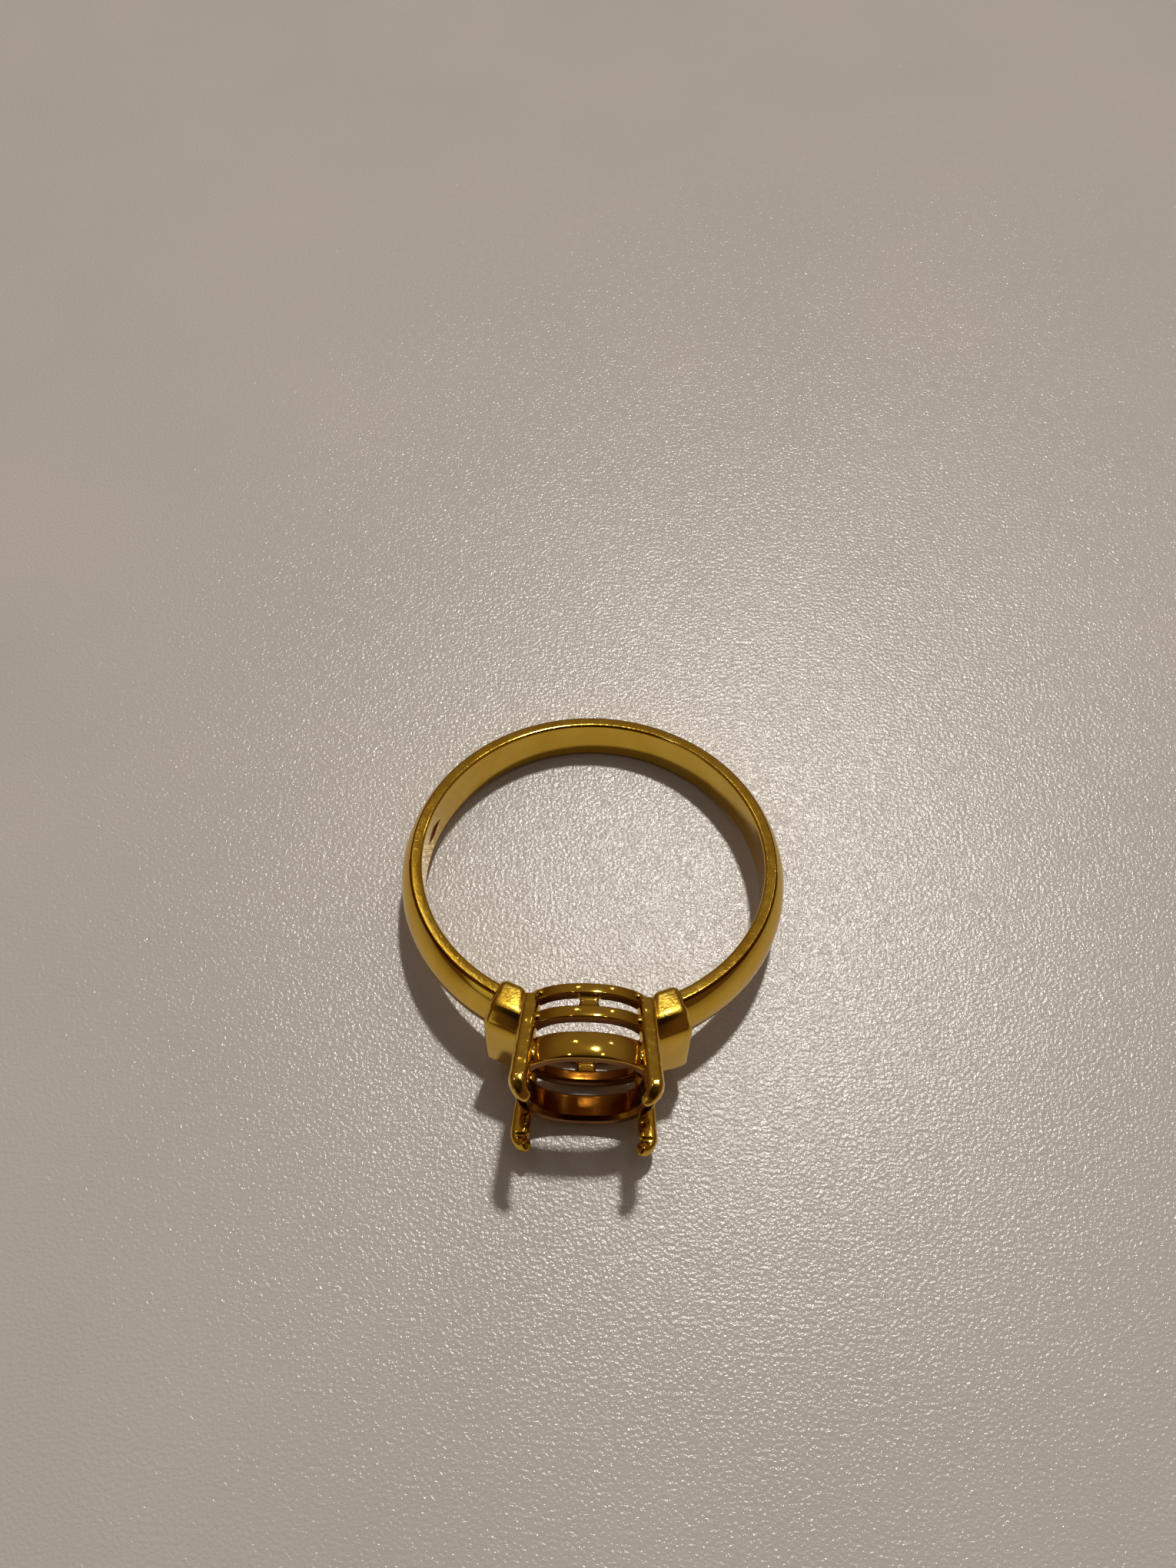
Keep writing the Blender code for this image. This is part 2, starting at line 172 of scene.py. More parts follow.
# Lamps by name: elevation and azimuth in degrees, size in metres, power in watts.
LAMPS = {
    "key": (64.8, 14.0, 0.11, 15.8),
    "glint_0": (50, -14, 0.08, 0.3),
    "glint_1": (72, -60, 0.08, 0.35),
    "glint_2": (70, 50, 0.08, 0.35),
    "glint_3": (43, 32, 0.08, 0.4),
}
LAMP_DISTANCE = 1.9
LAMP_COLOR = (1.0, 0.945, 0.87)
FILL = (75.0, 20.0, 2.0, 1.8)
FILL_DISTANCE = 1.2
FILL_COLOR = (1.0, 0.97, 0.94)

# The room as patches of light: elevation, azimuth, inner and outer radius in degrees, colour.
ROOM = (
    (90, 0, 10, 100, (0.030, 0.026, 0.020)),
    (55, 5, 10, 60, (0.085, 0.077, 0.060)),
    (14, -128, 5, 14, (0.34, 0.37, 0.30)),
)
ROOM_BASE = (0.082, 0.041, 0.030)
SHADE = (61, 180, 22, 50)         # the patch that whoever holds the camera keeps dark
SHADE_SHARE = 0.12                # share of the room's light that is left in its middle

# Camera, in the ring's frame: where it looks from, and where the finger hole's middle sits before it.
VIEW_ELEVATION = math.radians(53.25)
VIEW_AZIMUTH = math.radians(0.05)
VIEW_ROLL = math.radians(2.1)
VIEW_CENTRE = Vector((0.26, 4.46, 77.43))   # right, down and away from the camera
FOCAL_SHARE = 2000 / 2040                   # focal length over the picture's long side
SENSOR_HEIGHT = 36
CLIP_START = 0.001                          # metres
CLIP_END = 20


# ---------------------------------------------------------------- from the frame to the ring and back

def ring_matrix():
    """The ring's frame, in millimetres, as the record's stone seat gives it."""
    seat = frame["record"]["mounts"][0]
    forward = Vector(seat["axis"])
    turn = Vector((0, -1, 0)).rotation_difference(forward).to_matrix().to_4x4()
    centre = Vector(seat["pos_m"]) - turn @ (Vector((0, -CROWN_FACE, SEAT_Z)) * MM)
    return Matrix.Translation(centre) @ turn @ Matrix.Scale(MM, 4)


RING = ring_matrix()
TO_RING = RING.inverted()


def ring_box(node):
    """Lowest and highest corner of a CAD node in the ring's frame."""
    points = [TO_RING @ vertex.co for vertex in frame["nodes"][node].data.vertices]
    low = Vector([min(point[axis] for point in points) for axis in range(3)])
    high = Vector([max(point[axis] for point in points) for axis in range(3)])
    return low, high


def place(name, mesh, materials, slot, *nodes):
    """A finished mesh in the ring's frame becomes a piece that rides on the body and stands for nodes."""
    mesh.transform(RING)
    piece = bpy.data.objects.new(name, mesh)
    bpy.context.scene.collection.objects.link(piece)
    for material in materials:
        mesh.materials.append(material)
    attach(piece, "root")
    if nodes:
        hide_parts(*nodes)


# ---------------------------------------------------------------- meshes

def smooth(mesh, sharp_degrees):
    """Smooth shading, with edges kept sharp where the faces turn further than an angle."""
    mesh.shade_smooth()
    mesh.set_sharp_from_angle(angle=math.radians(sharp_degrees))


def loft(name, sections, closed):
    """A closed body through equal sections; an open run of sections gets flat ends."""
    shape = bmesh.new()
    rings = [[shape.verts.new(point) for point in section] for section in sections]
    pairs = list(zip(rings, rings[1:]))
    if closed:
        pairs.append((rings[-1], rings[0]))
    count = len(rings[0])
    for ring, following in pairs:
        for index in range(count):
            after = (index + 1) % count
            shape.faces.new((ring[index], ring[after], following[after], following[index]))
    if not closed:
        shape.faces.new(rings[0])
        shape.faces.new(rings[-1])
    bmesh.ops.recalc_face_normals(shape, faces=shape.faces)
    mesh = bpy.data.meshes.new(name)
    shape.to_mesh(mesh)
    shape.free()
    return mesh


def fillet(corners, steps=6):
    """An outline of (x, y, radius) corners, each rounded by a curve like an arc of its radius."""
    outline = []
    count = len(corners)
    for index, (x, y, radius) in enumerate(corners):
        corner = Vector((x, y))
        if radius <= 0:
            outline.append(corner)
            continue
        before = Vector(corners[index - 1][:2]) - corner
        after = Vector(corners[(index + 1) % count][:2]) - corner
        room = CORNER_ROOM * min(before.length, after.length)
        reach = min(radius / math.tan(before.angle(after) / 2), room)
        start = corner + before.normalized() * reach
        end = corner + after.normalized() * reach
        for step in range(steps + 1):
            t = step / steps
            outline.append(start * (1 - t) ** 2 + corner * 2 * t * (1 - t) + end * t ** 2)
    return outline


def refine(outline, longest):
    """The same closed outline with no side longer than longest."""
    fine = []
    for index, point in enumerate(outline):
        following = outline[(index + 1) % len(outline)]
        pieces = max(1, math.ceil((following - point).length / longest))
        fine += [point.lerp(following, step / pieces) for step in range(pieces)]
    return fine


# ---------------------------------------------------------------- shank

def head_direction(angle):
    """Outward direction at an angle round the finger hole, from the head's direction."""
    return Vector((math.sin(angle), -math.cos(angle), 0.0))


def half_width_at(y):
    """Half the shank's width, which tapers evenly from the head to the back."""
    share = (FINGER_RADIUS - y) / (2 * FINGER_RADIUS)
    return BACK_HALF_WIDTH + (HEAD_HALF_WIDTH - BACK_HALF_WIDTH) * share


def stamp_depth(along, z):
    """Depth of the lozenge dent at a place on the flat inside, with sloping walls."""
    inside = 1 - abs(along) / STAMP_HALF_LENGTH - abs(z) / STAMP_HALF_HEIGHT
    return STAMP_DEPTH * min(1.0, max(0.0, inside / STAMP_WALL))


def shank_outline(angle):
    """Cross-section as (radius, z): rounded inner edges, flat sides, a dome outside, the stamp inside."""
    outward = head_direction(angle)
    dome = BACK_DOME + (SHOULDER_DOME - BACK_DOME) * (1 + math.cos(angle)) / 2
    foot = FINGER_RADIUS + EDGE_THICKNESS
    half_foot = half_width_at(outward.y * foot)
    half_inner = half_width_at(outward.y * FINGER_RADIUS)
    arc_radius = (half_foot ** 2 + dome ** 2) / (2 * dome)
    half_arc = math.asin(half_foot / arc_radius)
    corners = [(FINGER_RADIUS, -half_inner, INNER_EDGE_ROUND), (foot, -half_foot, OUTER_EDGE_ROUND)]
    for step in range(1, DOME_STEPS):
        turn = (2 * step / DOME_STEPS - 1) * half_arc
        height = arc_radius * math.cos(turn) - (arc_radius - dome)
        corners.append((foot + height, arc_radius * math.sin(turn), 0))
    corners += [(foot, half_foot, OUTER_EDGE_ROUND), (FINGER_RADIUS, half_inner, INNER_EDGE_ROUND)]
    outline = fillet(corners)
    half_flat = half_inner - INNER_EDGE_ROUND
    along = FINGER_RADIUS * (angle - math.pi - STAMP_ANGLE)
    for step in range(1, INNER_STEPS):
        z = half_flat * (1 - 2 * step / INNER_STEPS)
        outline.append(Vector((FINGER_RADIUS + stamp_depth(along, z), z)))
    return outline


def shank_angles():
    """Even steps round the shank, with finer ones across the stamp."""
    start = SHOULDER_ANGLE + SHANK_END * SHOULDER_HALF_LENGTH / FINGER_RADIUS
    angles = [start + (2 * math.pi - 2 * start) * step / SHANK_STEPS for step in range(SHANK_STEPS + 1)]
    middle = math.pi + STAMP_ANGLE
    half = STAMP_MARGIN * STAMP_HALF_LENGTH / FINGER_RADIUS
    kept = [angle for angle in angles if abs(angle - middle) > half]
    fine = [middle + half * (2 * step / STAMP_STEPS - 1) for step in range(STAMP_STEPS + 1)]
    return sorted(kept + fine)


def make_shank(polished, filed, stamp_dirt_and_shade, painted_shade):
    """The band: filed side faces, a stamped dent with dirt and painted shade, painted shade in the crease
    at the dome's foot.
    """
    sections = []
    for angle in shank_angles():
        outward = head_direction(angle)
        sections.append([outward * r + Vector((0, 0, z)) for r, z in shank_outline(angle)])
    mesh = loft("shank_metal", sections, False)
    smooth(mesh, sharp_degrees=38.0)
    materials = [polished, filed, stamp_dirt_and_shade, painted_shade]
    shallow, deep = PRESSED_SHARES
    for face in mesh.polygons:
        depth = face.center.xy.length - FINGER_RADIUS
        turn = abs(face.normal.z)
        if turn > SIDE_FACE_TURN:
            face.material_index = materials.index(filed)
        # The stamp's dent gets dirt and painted shade.
        elif abs(face.center.z) < STAMP_HALF_HEIGHT and shallow < depth / STAMP_DEPTH < deep:
            face.material_index = materials.index(stamp_dirt_and_shade)
        # The crease at the foot of the dome gets painted shade.
        elif abs(depth - EDGE_THICKNESS) < OUTER_EDGE_ROUND / 2 and turn > CREASE_TURN:
            face.material_index = materials.index(painted_shade)
    place("shank_metal", mesh, materials, "polished_gold", "shank")


# ---------------------------------------------------------------- shoulders

def make_shoulder(node, side, polished, brushed):
    """A chamfered block between the shank and the head, cut off square beside the rails."""
    outer = FINGER_RADIUS + SHOULDER_THICKNESS
    corners = [
        (FINGER_RADIUS, SHOULDER_HALF_WIDTH),
        (outer - SHOULDER_CHAMFER, SHOULDER_HALF_WIDTH),
        (outer, SHOULDER_HALF_WIDTH - SHOULDER_CHAMFER),
    ]
    outline = corners + [(radius, -z) for radius, z in reversed(corners)]
    outward = head_direction(side * SHOULDER_ANGLE)
    along = Vector((0, 0, 1)).cross(outward) * side
    sections = []
    for distance in (SHOULDER_HALF_LENGTH, -SHOULDER_BLANK * SHOULDER_HALF_LENGTH):
        sections.append([along * distance + outward * r + Vector((0, 0, z)) for r, z in outline])
    mesh = loft(node + "_metal", sections, False)
    cut_point = Vector((side * (CLAW_OUT_X - SHOULDER_INSET), 0, 0))
    cut_and_round(mesh, cut_point, Vector((-side, 0, 0)))
    smooth(mesh, sharp_degrees=30.0)
    materials = [polished, brushed]
    for face in mesh.polygons:
        if abs(face.normal.z) > SHOULDER_TOP_TURN:
            face.material_index = materials.index(brushed)
    place(node + "_metal", mesh, materials, "polished_gold", node)


def cut_and_round(mesh, cut_point, cut_normal):
    """Cut a block off with a plane, close it and round its edges."""
    shape = bmesh.new()
    shape.from_mesh(mesh)
    geometry = shape.verts[:] + shape.edges[:] + shape.faces[:]
    bmesh.ops.bisect_plane(shape, geom=geometry, plane_co=cut_point, plane_no=cut_normal, clear_outer=True)
    bmesh.ops.holes_fill(shape, edges=shape.edges[:])
    bmesh.ops.bevel(shape, geom=shape.edges[:], offset=SHOULDER_EDGE_ROUND, segments=SHOULDER_EDGE_STEPS,
                    profile=0.5, affect="EDGES", clamp_overlap=True)
    bmesh.ops.recalc_face_normals(shape, faces=shape.faces)
    shape.to_mesh(mesh)
    shape.free()


# ---------------------------------------------------------------- rails and struts

def cushion_point(half_x, half_z, angle):
    """Point of a soft cushion outline in the plane of a rail."""
    cos, sin = math.cos(angle), math.sin(angle)
    reach = abs(cos / half_x) ** OUTLINE_POWER + abs(sin / half_z) ** OUTLINE_POWER
    radius = reach ** (-1 / OUTLINE_POWER)
    return Vector((radius * cos, 0.0, radius * sin))


def rail_section(height, crown):
    """Rail section as (outward, forward) around its middle: barrel-shaped outside, flat inside."""
    wall, high = RAIL_WALL / 2, height / 2
    edge = RAIL_EDGE_ROUND
    belly = high ** 2 / (2 * BARREL_RADIUS)
    outer = [(wall - belly, -high, edge)]
    for step in range(1, BARREL_STEPS):
        y = (2 * step / BARREL_STEPS - 1) * (high - edge)
        outer.append((wall - belly * (y / high) ** 2, y, 0))
    outer.append((wall - belly, high, edge))
    front_inner = [(-wall, high, edge)]
    if crown:
        front_inner = [
            (-wall + BEARING_WIDTH, high, BEARING_FRONT_ROUND),
            (-wall, high - BEARING_DEPTH, BEARING_BACK_ROUND),
        ]
    return refine(fillet(outer + front_inner + [(-wall, -high, edge)]), RAIL_GRID)


def make_rail(node, worked, painted_shade):
    """A gallery rail, with painted shade on the faces that turn into the head."""
    low, high = ring_box(node)
    half_x = (high.x - low.x) / 2 - RAIL_WALL / 2
    half_z = (high.z - low.z) / 2 - RAIL_WALL / 2
    middle = (low.y + high.y) / 2
    section = rail_section(high.y - low.y, node == "crown_rail")
    sections = []
    for step in range(RAIL_STEPS):
        angle = 2 * math.pi * step / RAIL_STEPS
        point = cushion_point(half_x, half_z, angle)
        ahead = cushion_point(half_x, half_z, angle + RAIL_LOOK_AHEAD)
        outward = (ahead - point).normalized().cross(Vector((0, 1, 0)))
        if outward.dot(point) < 0:
            outward.negate()
        wave = RAIL_WAVE * noise.noise(point * RAIL_WAVE_RATE + Vector((0, middle, 0)))
        ring = [point + outward * (x + wave) + Vector((0, middle - y, 0)) for x, y in section]
        sections.append(ring)
    mesh = loft(node + "_metal", sections, True)
    smooth(mesh, sharp_degrees=60.0)
    materials = [worked, painted_shade]
    # The faces that turn into the head get painted shade.
    for face in mesh.polygons:
        around = Vector((face.center.x / half_x, 0.0, face.center.z / half_z))
        if face.normal.dot(around) < RAIL_OUTSIDE_TURN:
            face.material_index = materials.index(painted_shade)
    place(node + "_metal", mesh, materials, "setting_gold", node)


def make_strut(node, material):
    """A post with a slimmer waist between two rails."""
    low, high = ring_box(node)
    centre = (low + high) / 2
    half = (high - low) / 2
    reach = half.y + STRUT_BURIED
    edge = STRUT_EDGE_ROUND
    outline = refine(fillet([(half.x, half.z, edge), (-half.x, half.z, edge),
                             (-half.x, -half.z, edge), (half.x, -half.z, edge)]), STRUT_GRID)
    sections = []
    for step in range(STRUT_STEPS + 1):
        t = 2 * step / STRUT_STEPS - 1
        widen = 1 + (STRUT_SPREAD_X * abs(t) ** STRUT_SPREAD_POWER - STRUT_WAIST_X) / half.x
        deepen = 1 + (STRUT_SPREAD_Z * t * t - STRUT_WAIST_Z) / half.z
        sections.append([centre + Vector((x * widen, t * reach, z * deepen)) for x, z in outline])
    mesh = loft(node + "_metal", sections, False)
    smooth(mesh, sharp_degrees=60.0)
    place(node + "_metal", mesh, [material], "setting_gold", node)


# ---------------------------------------------------------------- claws

def claw_lean(side, level):
    """Direction of a claw's straight part, from its foot towards its hook."""
    return Vector((side * CLAW_FLARE_X, -1.0, level * CLAW_FLARE_Z)).normalized()


def claw_line(side, level):
    """Middle line of a claw as (point, direction, size), from its foot to its tip."""
    lean = claw_lean(side, level)
    inward = Vector((-side, 0.0, -level)).normalized()
    base_x = side * (CLAW_OUT_X - CLAW_WIDTH / 2)
    base_z = level * (CLAW_OUT_Z - CLAW_DEPTH / 2)
    base = Vector((base_x, -CLAW_FOOT, base_z))
    straight = (CROWN_FACE + CLAW_RISE - CLAW_FOOT) / -lean.y
    line = []
    for step in range(CLAW_FOOT_STEPS):
        t = step / CLAW_FOOT_STEPS
        growth = math.sqrt(1 - (1 - t) ** 2)
        size = CLAW_FOOT_SCALE + (1 - CLAW_FOOT_SCALE) * growth
        line.append((base + lean * CLAW_FOOT_LENGTH * t, lean, size))
    for step in range(CLAW_STRAIGHT_STEPS + 1):
        run = CLAW_FOOT_LENGTH + (straight - CLAW_FOOT_LENGTH) * step / CLAW_STRAIGHT_STEPS
        line.append((base + lean * run, lean, 1.0))
    centre = base + lean * straight + inward * CLAW_HOOK_RADIUS
    for step in range(1, CLAW_HOOK_STEPS + 1):
        share = step / CLAW_HOOK_STEPS
        angle = CLAW_HOOK_ANGLE * share
        offset = -inward * math.cos(angle) + lean * math.sin(angle)
        heading = inward * math.sin(angle) + lean * math.cos(angle)
        line.append((centre + offset * CLAW_HOOK_RADIUS, heading, 1 + (CLAW_TIP_SCALE - 1) * share))
    tip, heading, size = line[-1]
    for step in range(1, CLAW_TIP_STEPS + 1):
        t = step / CLAW_TIP_STEPS
        taper = CLAW_TIP_FLAT + (1 - CLAW_TIP_FLAT) * math.sqrt(1 - t * t)
        line.append((tip + heading * CLAW_TIP_LENGTH * t, heading, size * taper))
    return line


def make_claw(node, side, level, material):
    """A wire claw with a hooked tip and the flats that filing leaves."""
    half_width, half_depth, edge = CLAW_WIDTH / 2, CLAW_DEPTH / 2 * level, CLAW_EDGE_ROUND
    half_back = half_width * CLAW_BACK_SHARE
    outline = refine(fillet([
        (half_back, half_depth, edge), (-half_back, half_depth, edge),
        (-half_width, -half_depth, edge), (half_width, -half_depth, edge)]), CLAW_GRID)
    seed = Vector((side * CLAW_SEED[0], 0.0, level * CLAW_SEED[1]))
    lean = claw_lean(side, level)
    across = (Vector((1, 0, 0)) - lean * lean.x).normalized()
    upward = across.cross(lean)
    if upward.z < 0:
        upward.negate()
    sections = []
    for point, heading, size in claw_line(side, level):
        turn = lean.rotation_difference(heading)
        x_axis, z_axis = turn @ across, turn @ upward
        ring = []
        for x, z in outline:
            offset = (x_axis * x + z_axis * z) * size
            spot = point + offset
            dent = sum(depth * noise.noise(spot * rate + seed) for depth, rate in CLAW_DENTS)
            ring.append(spot + offset.normalized() * dent * size)
        sections.append(ring)
    mesh = loft(node + "_metal", sections, False)
    smooth(mesh, sharp_degrees=80.0)
    place(node + "_metal", mesh, [material], "setting_gold", node)


# ---------------------------------------------------------------- solder

def make_solder(material):
    """A bead of solder in each corner between a rail and a claw."""
    shape = bmesh.new()
    for node in ("base_rail", "middle_rail", "crown_rail"):
        low, high = ring_box(node)
        middle, half_height = (low.y + high.y) / 2, (high.y - low.y) / 2
        claw_inside = CLAW_OUT_X - CLAW_WIDTH + CLAW_FLARE_X * (-middle - CLAW_FOOT)
        x = claw_inside + SOLDER_HALF_WIDTH * SOLDER_IN_CLAW
        rail_outside = high.z * (1 - (x / high.x) ** OUTLINE_POWER) ** (1 / OUTLINE_POWER)
        z = rail_outside - SOLDER_HALF_DEPTH * SOLDER_IN_RAIL
        size = Matrix.Diagonal((SOLDER_HALF_WIDTH, half_height * SOLDER_HEIGHT_SHARE, SOLDER_HALF_DEPTH, 1))
        for side in SIDES.values():
            for level in LEVELS.values():
                spot = Matrix.Translation((side * x, middle, level * z))
                bmesh.ops.create_icosphere(shape, subdivisions=3, radius=1.0, matrix=spot @ size)
    mesh = bpy.data.meshes.new("solder")
    shape.to_mesh(mesh)
    shape.free()
    mesh.shade_smooth()
    place("solder", mesh, [material], "setting_gold")


# ---------------------------------------------------------------- materials

def new_material(name):
    """A material with its node tree and its shader."""
    material = bpy.data.materials.new(name)
    material.use_nodes = True
    return material, material.node_tree, material.node_tree.nodes["Principled BSDF"]


def blend(tree, factor, low, high):
    """Blend between two colours by a factor; 6, 7 and 2 are the Mix node's colour sockets."""
    mix = tree.nodes.new("ShaderNodeMix")
    mix.data_type = "RGBA"
    mix.inputs[6].default_value = (*low, 1)
    mix.inputs[7].default_value = (*high, 1)
    tree.links.new(factor, mix.inputs[0])
    return mix.outputs[2]


def spread(tree, factor, low, high, start=0.3, end=0.7):
    """Map a factor between start and end to the range from low to high."""
    made = tree.nodes.new("ShaderNodeMapRange")
    made.inputs["From Min"].default_value = start
    made.inputs["From Max"].default_value = end
    made.inputs["To Min"].default_value = low
    made.inputs["To Max"].default_value = high
    tree.links.new(factor, made.inputs["Value"])
    return made.outputs["Result"]


def mottle(tree, size, detail, roughness=0.5):
    """Noise that stays with the piece. Size in millimetres."""
    made = tree.nodes.new("ShaderNodeTexNoise")
    made.inputs["Scale"].default_value = 1 / (size * MM)
    made.inputs["Detail"].default_value = detail
    made.inputs["Roughness"].default_value = roughness
    tree.links.new(tree.nodes.new("ShaderNodeTexCoord").outputs["Object"], made.inputs["Vector"])
    return made.outputs["Fac"]


def relief(tree, height, depth):
    """A bump node under a height factor. Depth in millimetres."""
    made = tree.nodes.new("ShaderNodeBump")
    made.inputs["Strength"].default_value = 1.0
    made.inputs["Distance"].default_value = depth * MM
    tree.links.new(height, made.inputs["Height"])
    return made


def gold(name, rough, wave, grain, grain_size, wave_size=1.1, tint=CLEAN_TINT):
    """Gold with soft patches of colour, hand-polished waves and a fine grain. Sizes in millimetres."""
    material, tree, shader = new_material(name)
    shader.inputs["Metallic"].default_value = 1.0
    patches = spread(tree, mottle(tree, size=2.5, detail=3.0), 0, 1)
    deep = [channel * share for channel, share in zip(DEEP_GOLD, tint)]
    pale = [channel * share for channel, share in zip(PALE_GOLD, tint)]
    tree.links.new(blend(tree, patches, deep, pale), shader.inputs["Base Color"])
    worn = mottle(tree, size=0.7, detail=5.0, roughness=0.65)
    tree.links.new(spread(tree, worn, rough * 0.7, rough * 1.5), shader.inputs["Roughness"])
    waves = relief(tree, mottle(tree, wave_size, detail=1.0), wave)
    fine = relief(tree, mottle(tree, grain_size, detail=3.0, roughness=0.6), grain)
    tree.links.new(waves.outputs["Normal"], fine.inputs["Normal"])
    tree.links.new(fine.outputs["Normal"], shader.inputs["Normal"])
    return material


def table_material():
    """Pale satin laminate with a pebbled grain."""
    material, tree, shader = new_material("table")
    shader.inputs["Roughness"].default_value = 0.17
    shader.inputs["Specular IOR Level"].default_value = 0.42
    clouds = spread(tree, mottle(tree, size=14.0, detail=2.0), 0, 1)
    tree.links.new(blend(tree, clouds, *TABLE_TONES), shader.inputs["Base Color"])
    pebbles = relief(tree, mottle(tree, size=0.18, detail=2.5), depth=0.039)
    tree.links.new(pebbles.outputs["Normal"], shader.inputs["Normal"])
    return material


# ---------------------------------------------------------------- stage

def direction(elevation, azimuth):
    """Unit vector from the ring; azimuth from +Y towards +X, both in degrees."""
    up, around = math.radians(elevation), math.radians(azimuth)
    return Vector((math.cos(up) * math.sin(around), math.cos(up) * math.cos(around), math.sin(up)))


def make_table():
    """A flat table under the ring."""
    mesh = bpy.data.meshes.new("table")
    shape = bmesh.new()
    bmesh.ops.create_grid(shape, x_segments=1, y_segments=1, size=TABLE_SIZE / 2)
    shape.to_mesh(mesh)
    shape.free()
    table = bpy.data.objects.new("table", mesh)
    bpy.context.scene.collection.objects.link(table)
    mesh.materials.append(table_material())


def add_light(name, elevation, azimuth, size, power, distance, color):
    """A round lamp that faces the ring."""
    data = bpy.data.lights.new(name, "AREA")
    data.shape = "DISK"
    data.size = size
    data.energy = power
    data.color = color
    light = bpy.data.objects.new(name, data)
    bpy.context.scene.collection.objects.link(light)
    toward = direction(elevation, azimuth)
    light.location = toward * distance
    light.rotation_euler = toward.to_track_quat("Z", "Y").to_euler()
    return light


def make_lights():
    """The key lamp, four small lamps that show as glints, and a soft fill that the gold doesn't mirror."""
    for name, values in LAMPS.items():
        add_light(name, *values, LAMP_DISTANCE, LAMP_COLOR)
    fill = add_light("fill", *FILL, FILL_DISTANCE, FILL_COLOR)
    fill.visible_glossy = False


def sky_patch(tree, sight, elevation, azimuth, inner, outer):
    """A factor that falls from 1 to 0 between two radii round a direction in the room."""
    dot = tree.nodes.new("ShaderNodeVectorMath")
    dot.operation = "DOT_PRODUCT"
    dot.inputs[1].default_value = direction(elevation, azimuth)
    tree.links.new(sight, dot.inputs[0])
    edge = tree.nodes.new("ShaderNodeMapRange")
    edge.interpolation_type = "SMOOTHSTEP"
    edge.inputs["From Min"].default_value = math.cos(math.radians(outer))
    edge.inputs["From Max"].default_value = math.cos(math.radians(inner))
    tree.links.new(dot.outputs["Value"], edge.inputs["Value"])
    return edge.outputs["Result"]


def make_world():
    """A dim brown room: a soft ceiling light, a grey window low at the front left, a dark side in front."""
    world = bpy.data.worlds.new("room")
    bpy.context.scene.world = world
    world.use_nodes = True
    tree = world.node_tree
    sight = tree.nodes.new("ShaderNodeTexCoord").outputs["Generated"]
    total = None
    for *patch, color in ROOM:
        add = tree.nodes.new("ShaderNodeVectorMath")
        add.operation = "MULTIPLY_ADD"
        add.inputs[1].default_value = color
        tree.links.new(sky_patch(tree, sight, *patch), add.inputs[0])
        if total is None:
            add.inputs[2].default_value = ROOM_BASE
        else:
            tree.links.new(total, add.inputs[2])
        total = add.outputs[0]
    shade = spread(tree, sky_patch(tree, sight, *SHADE), 1.0, SHADE_SHARE, start=0.0, end=1.0)
    scaled = tree.nodes.new("ShaderNodeVectorMath")
    scaled.operation = "SCALE"
    tree.links.new(total, scaled.inputs[0])
    tree.links.new(shade, scaled.inputs["Scale"])
    tree.links.new(scaled.outputs[0], tree.nodes["Background"].inputs["Color"])


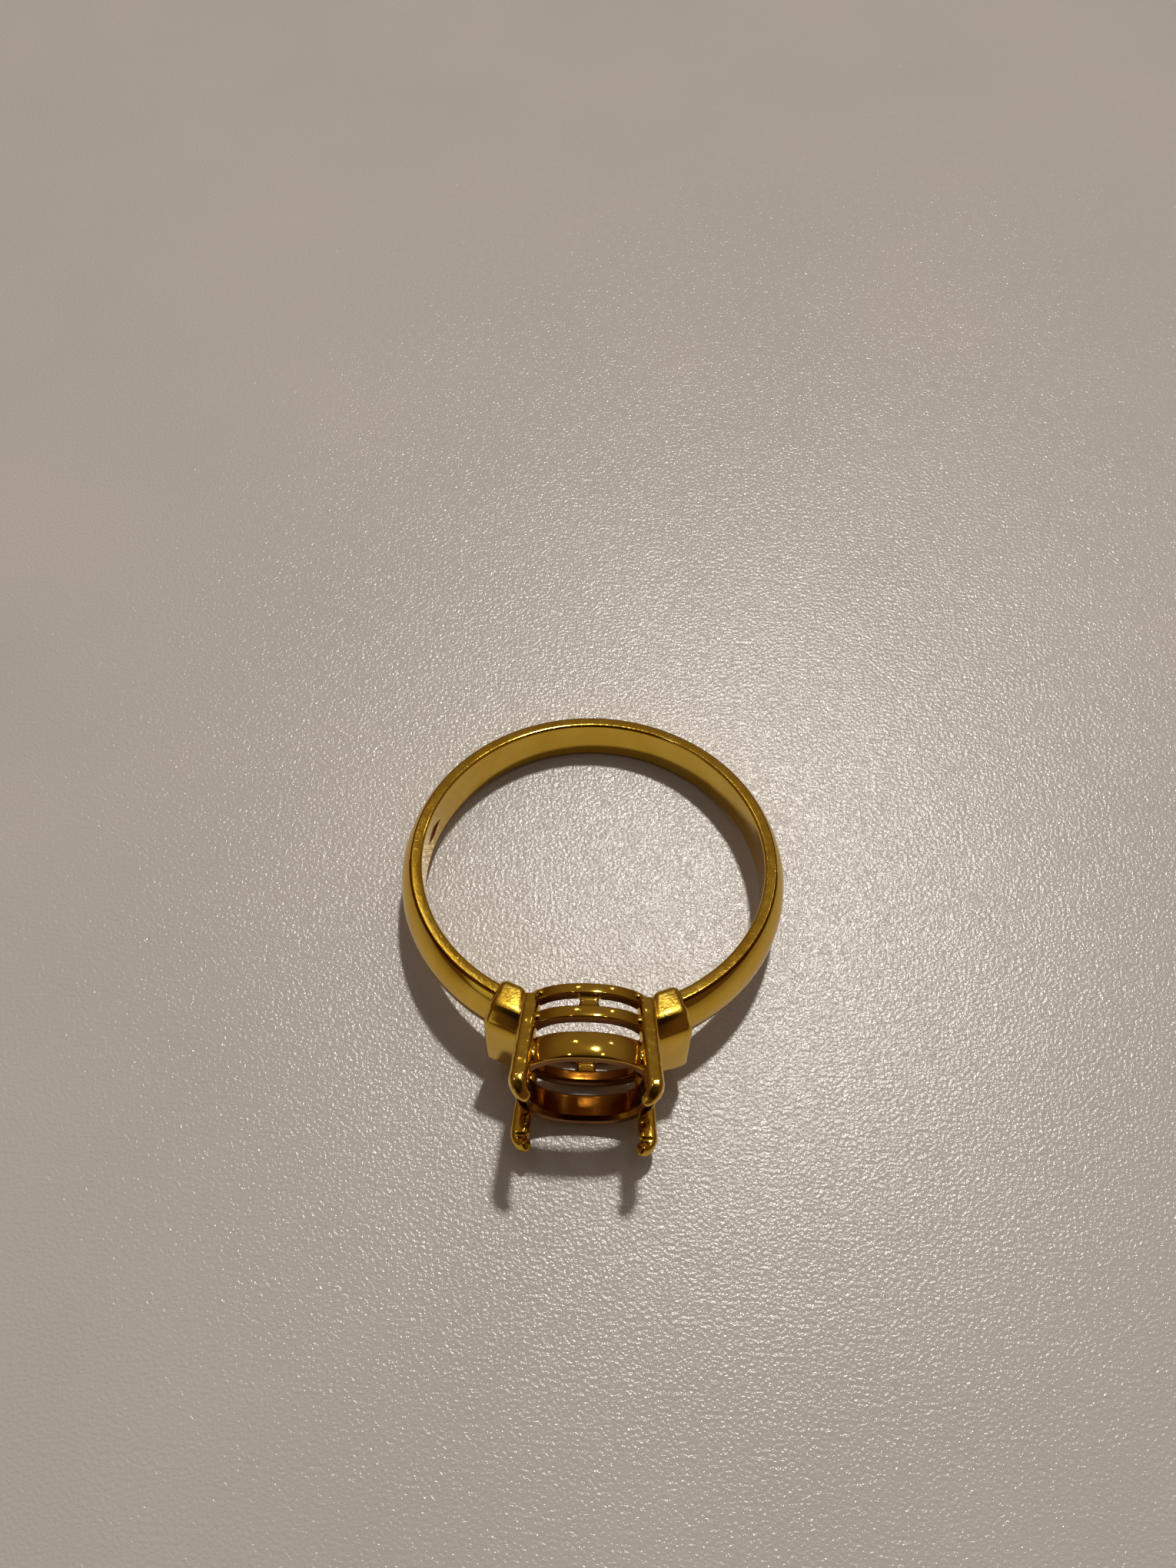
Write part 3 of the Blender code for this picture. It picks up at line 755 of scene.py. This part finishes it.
def make_camera():
    """The camera, set up in the ring's frame and then turned to the row frame."""
    cos_up, sin_up = math.cos(VIEW_ELEVATION), math.sin(VIEW_ELEVATION)
    cos_turn, sin_turn = math.cos(VIEW_AZIMUTH), math.sin(VIEW_AZIMUTH)
    away = Vector((-sin_turn * cos_up, cos_turn * cos_up, -sin_up))
    right = Vector((cos_turn, sin_turn, 0))
    down = away.cross(right)
    axes = Matrix.Rotation(VIEW_ROLL, 3, "Z") @ Matrix((right, down, away))
    in_ring = Matrix.Identity(4)
    in_ring.col[0].xyz = axes[0]
    in_ring.col[1].xyz = -axes[1]
    in_ring.col[2].xyz = -axes[2]
    in_ring.col[3].xyz = -(axes.transposed() @ VIEW_CENTRE)
    data = bpy.data.cameras.new("camera")
    data.sensor_fit = "VERTICAL"
    data.sensor_height = SENSOR_HEIGHT
    data.lens = SENSOR_HEIGHT * FOCAL_SHARE
    data.clip_start = CLIP_START
    data.clip_end = CLIP_END
    camera = bpy.data.objects.new("camera", data)
    bpy.context.scene.collection.objects.link(camera)
    in_row = RING @ in_ring
    turn = in_row.to_quaternion().to_matrix().to_4x4()
    camera.matrix_world = Matrix.Translation(in_row.translation) @ turn
    bpy.context.scene.camera = camera


def make_ring():
    """Every piece, with its finishes."""
    polished = gold("polished_gold_fine", rough=0.08, wave=0.006, grain=0.0006, grain_size=0.05)
    filed = gold("filed_gold", rough=0.12, wave=0.001, grain=0.008, grain_size=0.14, tint=FILED_TINT)
    brushed = gold("brushed_gold", rough=0.24, wave=0.004, grain=0.012, grain_size=0.12)
    worked = gold("setting_gold_fine", rough=0.06, wave=0.010, grain=0.0006, grain_size=0.07)
    beaded = gold("claw_gold", rough=0.12, wave=0.042, wave_size=0.50, grain=0.002, grain_size=0.10)
    # Painted shade, for the crease at the dome's foot and for the rails' faces into the head.
    painted_shade = gold("painted_shade_gold", rough=0.18, wave=0.010, grain=0.002, grain_size=0.10, tint=PAINTED_SHADE_TINT)
    # Dirt and painted shade in the stamp's dent.
    stamp_dirt_and_shade = gold("stamp_dirt_and_shade_gold", rough=0.45, wave=0.0, grain=0.010, grain_size=0.08, tint=STAMP_DIRT_AND_SHADE_TINT)
    make_shank(polished, filed, stamp_dirt_and_shade, painted_shade)
    for side_name, side in SIDES.items():
        make_shoulder(side_name + "_shoulder", side, polished, brushed)
    for rail in ("base_rail", "middle_rail", "crown_rail"):
        make_rail(rail, worked, painted_shade)
    for level_name, level in LEVELS.items():
        make_strut(level_name + "_strut", worked)
        for side_name, side in SIDES.items():
            make_claw(f"{level_name}_{side_name}_claw", side, level, beaded)
    make_solder(worked)


make_camera()
make_table()
make_lights()
make_world()
make_ring()
bpy.context.scene.view_settings.view_transform = "Standard"
